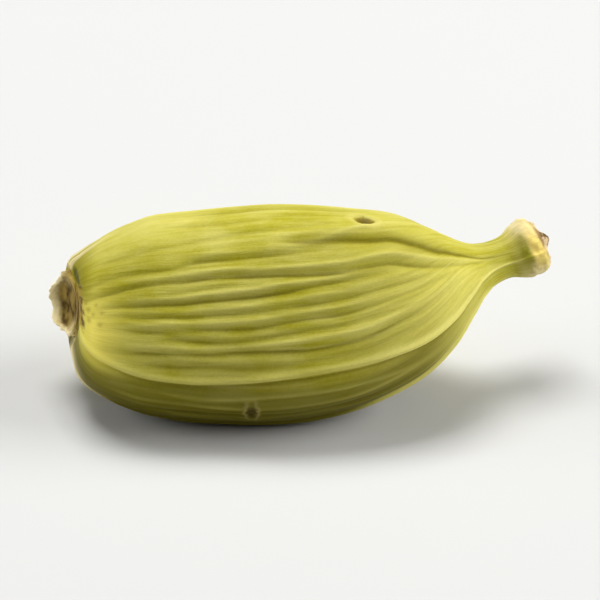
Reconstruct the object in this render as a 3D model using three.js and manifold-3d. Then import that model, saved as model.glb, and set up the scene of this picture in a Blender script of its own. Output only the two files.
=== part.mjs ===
// A dried green cardamom pod, lying on one of its three broad sides.
// Millimetres, +Z up, origin at the bottom centre of the whole pod's bounding box, +X towards the stalk.
//
// The pod is a three-sided husk with blunt corners. It has three broad, slightly bulging sides and
// three narrow corner strips, and a raised vein runs along each edge between them. One end is blunt
// and carries the withered remains of the flower. The other draws in to a short neck that bends up
// and back, and ends in a swollen stalk stub with a shallow pit where it broke off.
import * as THREE from "three";
import Module from "manifold-3d";

// ---- driving dimensions ----
const LEAN_DEG = 30; // the outline plane leans back this far from upright, and the broad front side lies along it
const SIDE_HALF_DEG = 39; // half the angle that a broad side spans, seen from the centre line
const CORNER_SHARPNESS = 6; // higher is more angular
const STRIP_APOTHEM = 1.2; // corner strip's distance from the centre line, over a broad side's
const VEIN_HEIGHT = 0.11; // of the six edge veins
const VEIN_HALF_WIDTH_DEG = 4.5;
const FLAT_DEPTH = 0.09; // how much of the belly's underside is pressed flat where it rests
const JOINT_GAP = 0.05; // between neighbouring pieces
const AROUND = 60; // facets round the husk
const ALONG = 46; // facets along the husk
const STALK_AROUND = 24;
const REMNANT_AROUND = 26;
const PIT_RADIUS = 0.62; // broken face of the stalk stub
const PIT_DEPTH = 0.38;
const BLUNT_SKEW = 0.42; // the blunt end is cut aslant: its front comes this far back, its rear as far out
const BLUNT_SKEW_REACH = 1.5; // over this length
const REMNANT_BASE_RADIUS = 1.2; // withered flower: a small thick-walled cup
const REMNANT_RIM_RADIUS = 1.14;
const REMNANT_HEIGHT = 0.46;
const REMNANT_TEAR = 0.5; // share of the cup's height that is torn away on its front
const REMNANT_WALL = 0.27;

// Stations from the blunt tip to the stalk: distance along the pod, height of the centre line up the
// outline plane, half width, tilt of the section in degrees, depth of the centre line behind the
// outline plane, roundness of the section (0 three-sided, 1 round), twist of its sides in degrees
const STATIONS = [
  [-8.55, 0.47, 1.26, 6, 0.18, 0.6, 0],
  [-8.42, 0.31, 1.62, 4.5, 0.17, 0.45, 0],
  [-8.15, 0.14, 2.04, 2, 0.14, 0.33, 0],
  [-7.64, 0.05, 2.58, 0, 0.09, 0.22, 0],
  [-6.93, 0.01, 3.08, -1.2, 0.04, 0.13, 0],
  [-6.14, -0.01, 3.43, -1.4, 0.01, 0.07, 0],
  [-5.36, -0.02, 3.65, -0.5, 0, 0.03, 0],
  [-3.93, -0.05, 3.81, 0, 0, 0, 0],
  [-2.5, -0.01, 3.91, 0.2, 0, 0, 0],
  [-1.03, 0.05, 3.98, 0.5, 0, 0, 0],
  [0.43, 0.11, 3.91, 1, 0, 0, 0],
  [1.93, 0.24, 3.7, 2.3, 0.03, 0.02, 0.5],
  [3.21, 0.46, 3.38, 4.9, 0.1, 0.05, 3],
  [4.29, 0.73, 2.94, 9.8, 0.2, 0.1, 7],
  [5.14, 1.07, 2.33, 16, 0.35, 0.2, 13],
  [5.79, 1.43, 1.73, 21.5, 0.52, 0.35, 18],
  [6.31, 1.67, 1.27, 25, 0.68, 0.55, 21],
  [6.81, 1.84, 0.96, 27.5, 0.84, 0.75, 22],
  [7.3, 2, 0.81, 27.5, 0.98, 0.88, 22],
  [7.73, 2.14, 0.79, 26, 1.1, 0.94, 22],
  [8.07, 2.24, 0.89, 24.5, 1.18, 0.96, 22],
  [8.36, 2.36, 1.03, 24, 1.26, 0.97, 22],
  [8.67, 2.49, 1.11, 24, 1.33, 0.98, 22],
  [8.94, 2.59, 1.04, 24, 1.4, 1, 22],
  [9.14, 2.64, 0.84, 24, 1.44, 1, 22],
];
const HUSK_END = 18.7; // station, as a fraction, where the neck meets the stalk stub
const STALK_END = 24;

// ---- the surface ----
const rad = (d) => (d * Math.PI) / 180;
const lean = rad(LEAN_DEG);
// right, up and towards-the-front axes of the outline plane
const RIGHT = new THREE.Vector3(1, 0, 0);
const UP = new THREE.Vector3(0, Math.sin(lean), Math.cos(lean));
const FRONT = new THREE.Vector3().crossVectors(RIGHT, UP);

// Catmull-Rom through the stations, column k, at station position s
function station(s, k) {
  const n = STATIONS.length - 1;
  const i = Math.min(Math.max(Math.floor(s), 0), n - 1);
  const f = s - i;
  const p = (j) => {
    if (j < 0) return 2 * STATIONS[0][k] - STATIONS[1][k];
    if (j > n) return 2 * STATIONS[n][k] - STATIONS[n - 1][k];
    return STATIONS[j][k];
  };
  const [a, b, c, d] = [p(i - 1), p(i), p(i + 1), p(i + 2)];
  return (
    0.5 *
    (2 * b +
      (c - a) * f +
      (2 * a - 5 * b + 4 * c - d) * f * f +
      (3 * b - a - 3 * c + d) * f * f * f)
  );
}

function centre(s) {
  return new THREE.Vector3()
    .addScaledVector(RIGHT, station(s, 0))
    .addScaledVector(UP, station(s, 1))
    .addScaledVector(FRONT, -station(s, 4));
}

// The two axes of the cross-section's plane at s: across (up the outline) and forward
function axes(s) {
  const tilt = rad(station(s, 3));
  const across = new THREE.Vector3()
    .addScaledVector(RIGHT, -Math.sin(tilt))
    .addScaledVector(UP, Math.cos(tilt));
  const ahead = centre(Math.min(s + 0.05, STATIONS.length - 1));
  const behind = centre(Math.max(s - 0.05, 0));
  const along = ahead.sub(behind).normalize();
  const forward = FRONT.clone()
    .addScaledVector(along, -FRONT.dot(along))
    .normalize();
  return { across, forward, along };
}

// Blunt-cornered three-sided section, with its half width across the outline scaled to 1
function polygon(phi) {
  let sum = 0;
  for (let k = 0; k < 6; k++) {
    const c = Math.cos(phi - (k * Math.PI) / 3);
    if (c > 0) sum += (c / (k % 2 ? STRIP_APOTHEM : 1)) ** CORNER_SHARPNESS;
  }
  return sum ** (-1 / CORNER_SHARPNESS);
}
// Half of its extent up the outline, at a twist
function halfExtent(twist) {
  let top = 0,
    bottom = 0;
  for (let i = 0; i < 360; i++) {
    const phi = rad(i);
    const y = polygon(phi - twist) * Math.sin(phi);
    top = Math.max(top, y);
    bottom = Math.min(bottom, y);
  }
  return (top - bottom) / 2;
}
const extents = new Map();
function extent(twist) {
  if (!extents.has(twist)) extents.set(twist, halfExtent(twist));
  return extents.get(twist);
}
const VEINS_DEG = [
  SIDE_HALF_DEG,
  120 - SIDE_HALF_DEG,
  120 + SIDE_HALF_DEG,
  240 - SIDE_HALF_DEG,
  240 + SIDE_HALF_DEG,
  360 - SIDE_HALF_DEG,
];

// Radius at angle phi (0 to the front, 90 degrees up the outline) and station s
function radius(s, phi) {
  const r = station(s, 2);
  const round = station(s, 5);
  const twist = rad(station(s, 6));
  let out = r * ((1 - round) * (polygon(phi - twist) / extent(twist)) + round);
  const fade = Math.min(1, r / 2.4);
  for (const v of VEINS_DEG) {
    let d = Math.abs(((phi - twist) * 180) / Math.PI - v) % 360;
    d = Math.min(d, 360 - d) / VEIN_HALF_WIDTH_DEG;
    out += VEIN_HEIGHT * fade * Math.exp(-0.5 * d * d);
  }
  return out;
}

// Shift along the pod that cuts the blunt end aslant
function skew(s, phi) {
  const t = Math.min(
    Math.max((station(s, 0) - STATIONS[0][0]) / BLUNT_SKEW_REACH, 0),
    1,
  );
  return BLUNT_SKEW * (1 - t * t * (3 - 2 * t)) * Math.cos(phi);
}

function surface(s, phi, scale = 1, push = 0) {
  const { across, forward, along } = axes(s);
  const r = radius(s, phi) * scale;
  return centre(s)
    .addScaledVector(RIGHT, skew(s, phi))
    .addScaledVector(forward, r * Math.cos(phi))
    .addScaledVector(across, r * Math.sin(phi))
    .addScaledVector(along, push);
}

// A closed body from rings of points that run along the pod, with a fan on each end
function loft(rings, firstCentre, lastCentre) {
  const n = rings[0].length;
  const v = [];
  for (const ring of rings) for (const p of ring) v.push(p.x, p.y, p.z);
  v.push(firstCentre.x, firstCentre.y, firstCentre.z);
  v.push(lastCentre.x, lastCentre.y, lastCentre.z);
  const a = rings.length * n,
    b = a + 1;
  const t = [];
  for (let i = 0; i + 1 < rings.length; i++)
    for (let j = 0; j < n; j++) {
      const k = (j + 1) % n;
      const p = i * n + j,
        q = i * n + k,
        r = (i + 1) * n + j,
        w = (i + 1) * n + k;
      t.push(p, r, q, q, r, w);
    }
  for (let j = 0; j < n; j++) {
    const k = (j + 1) % n;
    t.push(a, j, k);
    t.push(b, (rings.length - 1) * n + k, (rings.length - 1) * n + j);
  }
  const g = new THREE.BufferGeometry();
  g.setAttribute(
    "position",
    new THREE.BufferAttribute(new Float32Array(v), 3),
  );
  g.setIndex(t);
  return g;
}

const wasm = await Module();
wasm.setup();

function solid(g) {
  const made = new wasm.Manifold(
    new wasm.Mesh({
      numProp: 3,
      vertProperties: new Float32Array(g.attributes.position.array),
      triVerts: new Uint32Array(g.index.array),
    }),
  );
  return made;
}

function geometry(manifold) {
  const m = manifold.getMesh();
  const v = new Float32Array(m.numVert * 3);
  for (let i = 0; i < m.numVert; i++)
    for (let k = 0; k < 3; k++)
      v[i * 3 + k] = m.vertProperties[i * m.numProp + k];
  const g = new THREE.BufferGeometry();
  g.setAttribute("position", new THREE.BufferAttribute(v, 3));
  g.setIndex(new THREE.BufferAttribute(new Uint32Array(m.triVerts), 1));
  g.computeVertexNormals();
  return g;
}

// ---- husk ----
const huskRings = [];
for (let i = 0; i <= ALONG; i++) {
  const s = (HUSK_END * i) / ALONG;
  const ring = [];
  for (let j = 0; j < AROUND; j++)
    ring.push(surface(s, (2 * Math.PI * j) / AROUND));
  huskRings.push(ring);
}
const huskWhole = solid(loft(huskRings, centre(0), centre(HUSK_END)));

// The underside is pressed flat: everything below the flat is taken off
const low = huskWhole.boundingBox().min[2] + FLAT_DEPTH;
const under = new THREE.BoxGeometry(60, 60, 10);
under.translate(0, 0, low - 5);
const box = under.toNonIndexed();
box.deleteAttribute("normal");
box.deleteAttribute("uv");
const { mergeVertices } = await import(
  "three/addons/utils/BufferGeometryUtils.js"
);
const husk = huskWhole.subtract(solid(mergeVertices(box, 1e-6)));

// ---- stalk stub: the swollen end of the stalk, with a pit where it broke off ----
const stalkRings = [];
const STALK_STEPS = 12;
for (let i = 0; i <= STALK_STEPS; i++) {
  const s = HUSK_END + ((STALK_END - HUSK_END) * i) / STALK_STEPS;
  const push = i === 0 ? JOINT_GAP : 0;
  const ring = [];
  for (let j = 0; j < STALK_AROUND; j++)
    ring.push(surface(s, (2 * Math.PI * j) / STALK_AROUND, 1, push));
  stalkRings.push(ring);
}
const endAxes = axes(STALK_END);
const endCentre = centre(STALK_END);
const endRadius = station(STALK_END, 2);
const disc = (along, r) => {
  const ring = [];
  for (let j = 0; j < STALK_AROUND; j++) {
    const phi = (2 * Math.PI * j) / STALK_AROUND;
    ring.push(
      endCentre
        .clone()
        .addScaledVector(endAxes.along, along)
        .addScaledVector(endAxes.forward, r * Math.cos(phi))
        .addScaledVector(endAxes.across, r * Math.sin(phi)),
    );
  }
  return ring;
};
stalkRings.push(disc(0.08, (endRadius + PIT_RADIUS) / 2 + 0.03));
stalkRings.push(disc(0.03, PIT_RADIUS));
stalkRings.push(disc(-PIT_DEPTH * 0.7, PIT_RADIUS * 0.8));
stalkRings.push(disc(-PIT_DEPTH, PIT_RADIUS * 0.4));
const stalk = solid(
  loft(
    stalkRings,
    centre(HUSK_END).addScaledVector(axes(HUSK_END).along, JOINT_GAP),
    endCentre.clone().addScaledVector(endAxes.along, -PIT_DEPTH),
  ),
);

// ---- withered flower at the blunt tip: a small cup with a hollow and a wavy rim ----
const tip = centre(0);
const tipAxes = axes(0);
tipAxes.along = new THREE.Vector3().crossVectors(
  tipAxes.across,
  tipAxes.forward,
);
if (tipAxes.along.dot(RIGHT) < 0) tipAxes.along.negate();
const cupRing = (out, r, wave) => {
  const ring = [];
  for (let j = 0; j < REMNANT_AROUND; j++) {
    const phi = (2 * Math.PI * j) / REMNANT_AROUND;
    const w =
      wave * (0.05 * Math.sin(3 * phi + 0.6) + 0.04 * Math.sin(5 * phi + 2.1));
    const high = out * (1 - (REMNANT_TEAR * (1 + Math.cos(phi))) / 2);
    ring.push(
      tip
        .clone()
        .addScaledVector(RIGHT, BLUNT_SKEW * Math.cos(phi) * (r / REMNANT_BASE_RADIUS))
        .addScaledVector(tipAxes.along, -(JOINT_GAP + high + w))
        .addScaledVector(tipAxes.forward, r * Math.cos(phi))
        .addScaledVector(tipAxes.across, r * Math.sin(phi)),
    );
  }
  return ring;
};
const inner = REMNANT_RIM_RADIUS - REMNANT_WALL;
// From the floor of the hollow up to the rim, over it and down the outside to the base
const cupRings = [
  cupRing(REMNANT_HEIGHT * 0.3, inner * 0.5, 0),
  cupRing(REMNANT_HEIGHT * 0.36, inner * 0.82, 0),
  cupRing(REMNANT_HEIGHT * 0.8, inner, 1),
  cupRing(REMNANT_HEIGHT, REMNANT_RIM_RADIUS - REMNANT_WALL * 0.62, 1),
  cupRing(REMNANT_HEIGHT * 0.94, REMNANT_RIM_RADIUS - REMNANT_WALL * 0.18, 1),
  cupRing(REMNANT_HEIGHT * 0.7, REMNANT_RIM_RADIUS, 1),
  cupRing(REMNANT_HEIGHT * 0.3, REMNANT_RIM_RADIUS * 1.02, 0),
  cupRing(0, REMNANT_BASE_RADIUS, 0),
];
const remnant = solid(
  loft(
    cupRings,
    tip
      .clone()
      .addScaledVector(tipAxes.along, -(JOINT_GAP + REMNANT_HEIGHT * 0.3)),
    tip.clone().addScaledVector(tipAxes.along, -JOINT_GAP),
  ),
);

// ---- assembly, with the origin at the bottom centre of the bounding box ----
const pieces = [
  ["husk", husk, 0xa8a046, 0.62],
  ["stalk_stub", stalk, 0xd8c98c, 0.7],
  ["flower_remnant", remnant, 0xcdb98c, 0.85],
];
const lowest = new THREE.Vector3(Infinity, Infinity, Infinity);
const highest = lowest.clone().negate();
for (const [, m] of pieces) {
  const b = m.boundingBox();
  lowest.min(new THREE.Vector3(...b.min));
  highest.max(new THREE.Vector3(...b.max));
}
const pod = new THREE.Group();
pod.name = "cardamom_pod";
pod.position.set(
  -(lowest.x + highest.x) / 2,
  -(lowest.y + highest.y) / 2,
  -lowest.z,
);
for (const [name, m, color, roughness] of pieces) {
  const mesh = new THREE.Mesh(
    geometry(m),
    new THREE.MeshStandardMaterial({ color, roughness, metalness: 0 }),
  );
  mesh.name = name;
  pod.add(mesh);
}
const root = new THREE.Group();
root.add(pod);

export default root;
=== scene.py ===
"""A dried green cardamom pod, lying on one of its three broad sides on a plain pale floor.

The husk is one lofted surface: a three-sided section with blunt corners, carried along a gently bent
centre line. Grooves and veins run lengthwise over it and are cut into the mesh itself. The stalk stub
and the withered flower are pieces of their own. Lengths in the tables are millimetres.
"""
import math

import bpy
import numpy as np
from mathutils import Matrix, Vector, noise


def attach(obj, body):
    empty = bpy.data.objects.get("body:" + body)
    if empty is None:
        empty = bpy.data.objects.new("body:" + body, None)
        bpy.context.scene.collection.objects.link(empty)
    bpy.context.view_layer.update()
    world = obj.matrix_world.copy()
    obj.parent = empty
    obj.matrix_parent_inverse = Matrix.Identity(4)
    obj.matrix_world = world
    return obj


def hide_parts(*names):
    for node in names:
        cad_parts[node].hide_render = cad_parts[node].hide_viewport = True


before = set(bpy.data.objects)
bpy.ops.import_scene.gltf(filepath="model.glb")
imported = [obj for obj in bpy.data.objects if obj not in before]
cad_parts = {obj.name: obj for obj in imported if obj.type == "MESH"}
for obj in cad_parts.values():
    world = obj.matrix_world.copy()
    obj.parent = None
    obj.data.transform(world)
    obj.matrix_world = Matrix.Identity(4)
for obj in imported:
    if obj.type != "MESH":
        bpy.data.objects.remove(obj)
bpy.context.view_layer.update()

MM = 0.001
rng = np.random.default_rng(41)

# ---------------------------------------------------------------- the pod's form
# distance along, height of the centre line, half width, tilt, depth, roundness, twist
STATIONS = np.array([
    [-8.55, 0.47, 1.26, 6, 0.18, 0.6, 0],
    [-8.42, 0.31, 1.62, 4.5, 0.17, 0.45, 0],
    [-8.15, 0.14, 2.04, 2, 0.14, 0.33, 0],
    [-7.64, 0.05, 2.58, 0, 0.09, 0.22, 0],
    [-6.93, 0.01, 3.08, -1.2, 0.04, 0.13, 0],
    [-6.14, -0.01, 3.43, -1.4, 0.01, 0.07, 0],
    [-5.36, -0.02, 3.65, -0.5, 0, 0.03, 0],
    [-3.93, -0.05, 3.81, 0, 0, 0, 0],
    [-2.5, -0.01, 3.91, 0.2, 0, 0, 0],
    [-1.03, 0.05, 3.98, 0.5, 0, 0, 0],
    [0.43, 0.11, 3.91, 1, 0, 0, 0],
    [1.93, 0.24, 3.7, 2.3, 0.03, 0.02, 0.5],
    [3.21, 0.46, 3.38, 4.9, 0.1, 0.05, 3],
    [4.29, 0.73, 2.94, 9.8, 0.2, 0.1, 7],
    [5.14, 1.07, 2.33, 16, 0.35, 0.2, 13],
    [5.79, 1.43, 1.73, 21.5, 0.52, 0.35, 18],
    [6.31, 1.67, 1.27, 25, 0.68, 0.55, 21],
    [6.81, 1.84, 0.96, 27.5, 0.84, 0.75, 22],
    [7.3, 2, 0.81, 27.5, 0.98, 0.88, 22],
    [7.73, 2.14, 0.79, 26, 1.1, 0.94, 22],
    [8.07, 2.24, 0.89, 24.5, 1.18, 0.96, 22],
    [8.36, 2.36, 1.03, 24, 1.26, 0.97, 22],
    [8.67, 2.49, 1.11, 24, 1.33, 0.98, 22],
    [8.94, 2.59, 1.04, 24, 1.4, 1, 22],
    [9.14, 2.64, 0.84, 24, 1.44, 1, 22],
])
SHIFT = np.array([-0.0619, -0.0242, 3.3812])  # puts the origin at the bottom centre of the box
LEAN = math.radians(30)
RIGHT = np.array([1.0, 0, 0])
UP = np.array([0, math.sin(LEAN), math.cos(LEAN)])
FRONT = np.cross(RIGHT, UP)
SHARP = 6.0
STRIP = 1.2
BLUNT_SKEW, SKEW_REACH = 0.42, 1.5  # the blunt end is cut aslant
HUSK_END = 18.7
VEINS = np.radians([39, 81, 159, 201, 279, 321])


def station(s, k):
    """Catmull-Rom through column k of the stations."""
    s = np.asarray(s, float)
    n = len(STATIONS) - 1
    i = np.clip(np.floor(s).astype(int), 0, n - 1)
    f = s - i
    col = STATIONS[:, k]
    ext = np.concatenate([[2 * col[0] - col[1]], col, [2 * col[n] - col[n - 1]]])
    a, b, c, d = ext[i], ext[i + 1], ext[i + 2], ext[i + 3]
    return 0.5 * (2 * b + (c - a) * f + (2 * a - 5 * b + 4 * c - d) * f**2 + (3 * b - a - 3 * c + d) * f**3)


def centre(s):
    return (station(s, 0)[..., None] * RIGHT + station(s, 1)[..., None] * UP
            - station(s, 4)[..., None] * FRONT)


def axes(s):
    """The section's up and forward axes and the way along the pod, at each s."""
    tilt = np.radians(station(s, 3))
    across = -np.sin(tilt)[..., None] * RIGHT + np.cos(tilt)[..., None] * UP
    ahead = centre(np.minimum(s + 0.05, len(STATIONS) - 1))
    along = ahead - centre(np.maximum(s - 0.05, 0))
    along /= np.linalg.norm(along, axis=-1, keepdims=True)
    forward = FRONT - (along @ FRONT)[..., None] * along
    forward /= np.linalg.norm(forward, axis=-1, keepdims=True)
    return across, forward, along


def polygon(phi):
    total = np.zeros_like(phi)
    for k in range(6):
        c = np.cos(phi - k * math.pi / 3)
        total += np.where(c > 0, np.maximum(c, 0) / (STRIP if k % 2 else 1.0), 0) ** SHARP
    return total ** (-1 / SHARP)


_p = np.radians(np.arange(360.0))


def extent(twist):
    y = polygon(_p - twist) * np.sin(_p)
    return (y.max() - y.min()) / 2


def base_radius(s, phi):
    """Radius of the plain section, one row for each s."""
    r = station(s, 2)[:, None]
    rnd = station(s, 5)[:, None]
    tw = np.radians(station(s, 6))
    e = np.array([extent(t) for t in tw])[:, None]
    return r * ((1 - rnd) * polygon(phi[None, :] - tw[:, None]) / e + rnd)


def smooth(a, b, x):
    t = np.clip((x - a) / (b - a), 0, 1)
    return t * t * (3 - 2 * t)


def wrap(a):
    return (a + math.pi) % (2 * math.pi) - math.pi


def wander(x, seed, step=2.2, size=1.0):
    """A smooth random line along x."""
    g = np.random.default_rng(seed)
    knots = np.arange(-14, 14, step)
    vals = g.normal(0, size, len(knots))
    t = (x - knots[0]) / step
    i = np.clip(t.astype(int), 0, len(knots) - 2)
    f = t - i
    f = f * f * (3 - 2 * f)
    return vals[i] * (1 - f) + vals[i + 1] * f


# ---------------------------------------------------------------- grooves
# On the side towards the viewer: position along the pod, height on the side (-1 bottom edge, 1 top
# edge) and depth, as control points of each groove
FRONT_GROOVES = [
    [(-1.0, .645, 0), (-.5, .66, 16), (.5, .665, 54), (1.5, .688, 74), (2.5, .687, 90), (3.5, .704, 96), (4.36, .635, 78), (5.2, .53, 52), (6.07, .39, 34), (7.36, .18, 16), (8.0, .14, 0)],
    [(-8.0, .33, 0), (-7.5, .37, 10), (-6.5, .43, 17), (-5.5, .445, 28), (-4.5, .48, 30), (-3.5, .54, 42), (-2.5, .54, 40), (-1.5, .545, 38), (-.5, .56, 26), (.5, .58, 9), (1.6, .60, 0)],
    [(-8.3, .14, 0), (-7.5, .20, 24), (-6.5, .27, 34), (-5.5, .30, 37), (-4.5, .335, 40), (-3.5, .365, 44), (-2.5, .37, 46), (-1.5, .36, 44), (-.5, .355, 46), (.5, .36, 54), (1.5, .37, 42), (2.5, .40, 44), (3.5, .41, 44), (4.5, .325, 38), (5.2, .25, 30), (5.8, .17, 22), (6.6, .09, 14), (7.6, .05, 0)],
    [(-5.2, .215, 0), (-4.5, .23, 10), (-3.5, .26, 14), (-2.5, .28, 10), (-1.2, .29, 0)],
    [(-7.3, .06, 0), (-6.5, .09, 24), (-5.5, .10, 38), (-4.5, .115, 44), (-3.5, .14, 50), (-2.5, .15, 54), (-1.5, .165, 50), (-.5, .20, 52), (.5, .24, 48), (1.5, .28, 34), (2.5, .31, 16), (4.0, .34, 0)],
    [(-7.8, -.08, 0), (-6.5, -.03, 12), (-5.5, -.035, 20), (-4.5, -.01, 24), (-3.5, .0, 28), (-2.5, .01, 32), (-1.5, .025, 24), (-.5, .05, 20), (.5, .08, 36), (1.5, .11, 30), (2.5, .15, 18), (3.5, .18, 22), (4.6, .21, 8), (5.8, .22, 0)],
    [(-7.3, -.20, 0), (-6.5, -.165, 12), (-5.5, -.165, 28), (-4.5, -.145, 14), (-3.5, -.13, 22), (-2.5, -.135, 34), (-1.5, -.13, 34), (-.5, -.09, 28), (.5, -.06, 38), (1.5, -.045, 44), (2.5, .0, 24), (3.5, .04, 10), (4.5, .08, 16), (5.8, .10, 0)],
    [(-5.3, -.245, 0), (-4.5, -.24, 22), (-3.5, -.25, 32), (-2.5, -.25, 22), (-1.5, -.23, 20), (-.5, -.20, 22), (.5, -.17, 18), (1.5, -.15, 16), (2.5, -.12, 18), (4.0, -.08, 0)],
    [(-7.9, -.42, 0), (-7.0, -.43, 12), (-6.3, -.42, 20), (-5.5, -.39, 42), (-4.5, -.375, 30), (-3.5, -.37, 40), (-2.5, -.36, 48), (-1.5, -.36, 52), (-.5, -.36, 50), (.5, -.35, 50), (1.5, -.33, 54), (2.5, -.30, 48), (3.5, -.23, 36), (4.5, -.16, 24), (5.8, -.06, 0)],
    [(-5.8, -.50, 0), (-5.0, -.505, 30), (-4.5, -.50, 38), (-3.5, -.485, 24), (-2.5, -.50, 22), (-1.5, -.50, 14), (-.5, -.48, 10), (.5, -.46, 10), (1.5, -.44, 10), (2.5, -.42, 14), (3.5, -.37, 18), (4.5, -.31, 10), (5.6, -.2, 0)],
    [(-8.2, -.54, 0), (-7.5, -.58, 44), (-6.5, -.63, 62), (-5.5, -.665, 66), (-4.5, -.68, 70), (-3.5, -.68, 70), (-2.5, -.67, 74), (-1.5, -.65, 72), (-.5, -.635, 74), (.5, -.62, 84), (1.5, -.61, 76), (2.5, -.615, 76), (3.5, -.615, 76), (4.5, -.62, 70), (5.5, -.61, 60), (6.5, -.48, 40), (7.5, -.36, 18), (8.2, -.32, 0)],
    [(-7.2, .62, 0), (-6.5, .64, 8), (-5.5, .66, 14), (-4.5, .70, 14), (-3.5, .74, 18), (-2.5, .76, 18), (-1.5, .77, 20), (-.5, .79, 18), (.5, .82, 10), (1.6, .85, 0)],
    [(-5.8, .86, 0), (-4.5, .88, 10), (-3.5, .875, 14), (-2.5, .87, 12), (-1.5, .89, 12), (-.5, .91, 16), (1.0, .925, 12), (2.4, .93, 0)],
    [(-7.5, -.80, 0), (-6.5, -.82, 10), (-5.0, -.84, 14), (-3.5, -.85, 16), (-2.5, -.84, 14), (-1.5, -.81, 16), (.0, -.785, 14), (1.5, -.80, 12), (2.5, -.77, 16), (3.5, -.75, 14), (4.5, -.73, 10), (6.0, -.7, 0)],
    [(-6.8, -.93, 0), (-4.0, -.94, 12), (-1.0, -.93, 14), (2.0, -.92, 12), (4.5, -.90, 0)],
]
# Raised, paler lines between them
FRONT_CRESTS = [
    [(-6.4, -.315, 0), (-5.5, -.31, 29), (-4.5, -.30, 40), (-3.5, -.31, 40), (-2.5, -.30, 36), (-1.5, -.29, 50), (-.5, -.27, 48), (.5, -.24, 49), (1.5, -.22, 52), (2.5, -.20, 46), (3.5, -.14, 28), (5.2, -.03, 0)],
    [(-6.4, -.10, 0), (-5.5, -.10, 40), (-4.5, -.08, 28), (-3.5, -.07, 32), (-2.5, -.065, 44), (-1.5, -.05, 34), (-.5, -.015, 28), (.5, .01, 32), (1.5, .04, 32), (2.5, .08, 16), (4.0, .11, 0)],
    [(-6.4, .145, 0), (-5.5, .16, 36), (-4.5, .18, 38), (-3.5, .21, 46), (-2.5, .22, 50), (-1.5, .24, 44), (-.5, .275, 44), (.5, .305, 46), (1.5, .335, 34), (2.5, .37, 14), (4.0, .42, 0)],
    [(-6.4, .37, 0), (-5.5, .38, 28), (-4.5, .40, 36), (-3.5, .43, 42), (-2.5, .44, 44), (-1.5, .425, 42), (-.5, .43, 40), (.5, .435, 50), (1.5, .455, 46), (2.5, .505, 48), (3.5, .525, 54), (4.36, .47, 50), (5.2, .385, 44), (6.07, .27, 34), (7.2, .13, 18), (8.0, .10, 0)],
    [(-4.6, .05, 0), (-3.5, .065, 24), (-2.5, .075, 26), (-1.5, .09, 24), (-.5, .12, 18), (.5, .155, 32), (1.5, .18, 26), (2.5, .23, 18), (4.0, .28, 0)],
    [(-5.6, -.43, 0), (-4.5, -.415, 22), (-3.5, -.42, 24), (-2.5, -.43, 22), (-1.5, -.44, 14), (0, -.42, 12), (1.5, -.38, 10), (3.0, -.32, 0)],
    [(-4.8, -.19, 0), (-4.0, -.19, 16), (-3.0, -.19, 22), (-1.5, -.185, 18), (0, -.15, 14), (1.5, -.10, 12), (3.0, -.06, 0)],
    [(-5.8, .59, 0), (-3.8, .60, 16), (-2.5, .605, 20), (-1.5, .60, 16), (0, .62, 10), (1.2, .63, 0)],
    [(-3.9, .69, 0), (-2.5, .70, 10), (-1.5, .70, 20), (-.5, .72, 22), (.5, .755, 24), (1.5, .785, 24), (2.5, .80, 28), (3.4, .81, 0)],
    [(-7.2, -.76, 0), (-5.5, -.745, 20), (-4.5, -.77, 26), (-3.5, -.785, 26), (-2.5, -.785, 38), (-1.5, -.77, 38), (-.5, -.755, 36), (.5, -.75, 38), (1.5, -.755, 42), (2.5, -.765, 34), (3.5, -.79, 26), (5.0, -.81, 0)],
]
# millimetres for one unit of the depths and of the heights above
DEPTH = 0.0020
RIDGE = 0.0009


def interp(points, x, col):
    """Smooth line through control points."""
    px = np.array([p[0] for p in points])
    py = np.array([p[col] for p in points], float)
    m = np.gradient(py, px)
    x = np.clip(x, px[0], px[-1])
    i = np.clip(np.searchsorted(px, x, side="right") - 1, 0, len(px) - 2)
    h = px[i + 1] - px[i]
    t = (x - px[i]) / h
    return ((2 * t**3 - 3 * t**2 + 1) * py[i] + (t**3 - 2 * t**2 + t) * h * m[i]
            + (-2 * t**3 + 3 * t**2) * py[i + 1] + (t**3 - t**2) * h * m[i + 1])


def side_angle(s, v):
    """The angle on the viewer's side at which the section reaches v of its half width."""
    phi = np.radians(np.linspace(-84, 84, 337))
    r = base_radius(s, phi) / station(s, 2)[:, None]
    y = r * np.sin(phi)[None, :]
    return np.array([np.interp(vv, np.maximum.accumulate(row), phi) for vv, row in zip(v, y)])


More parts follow.
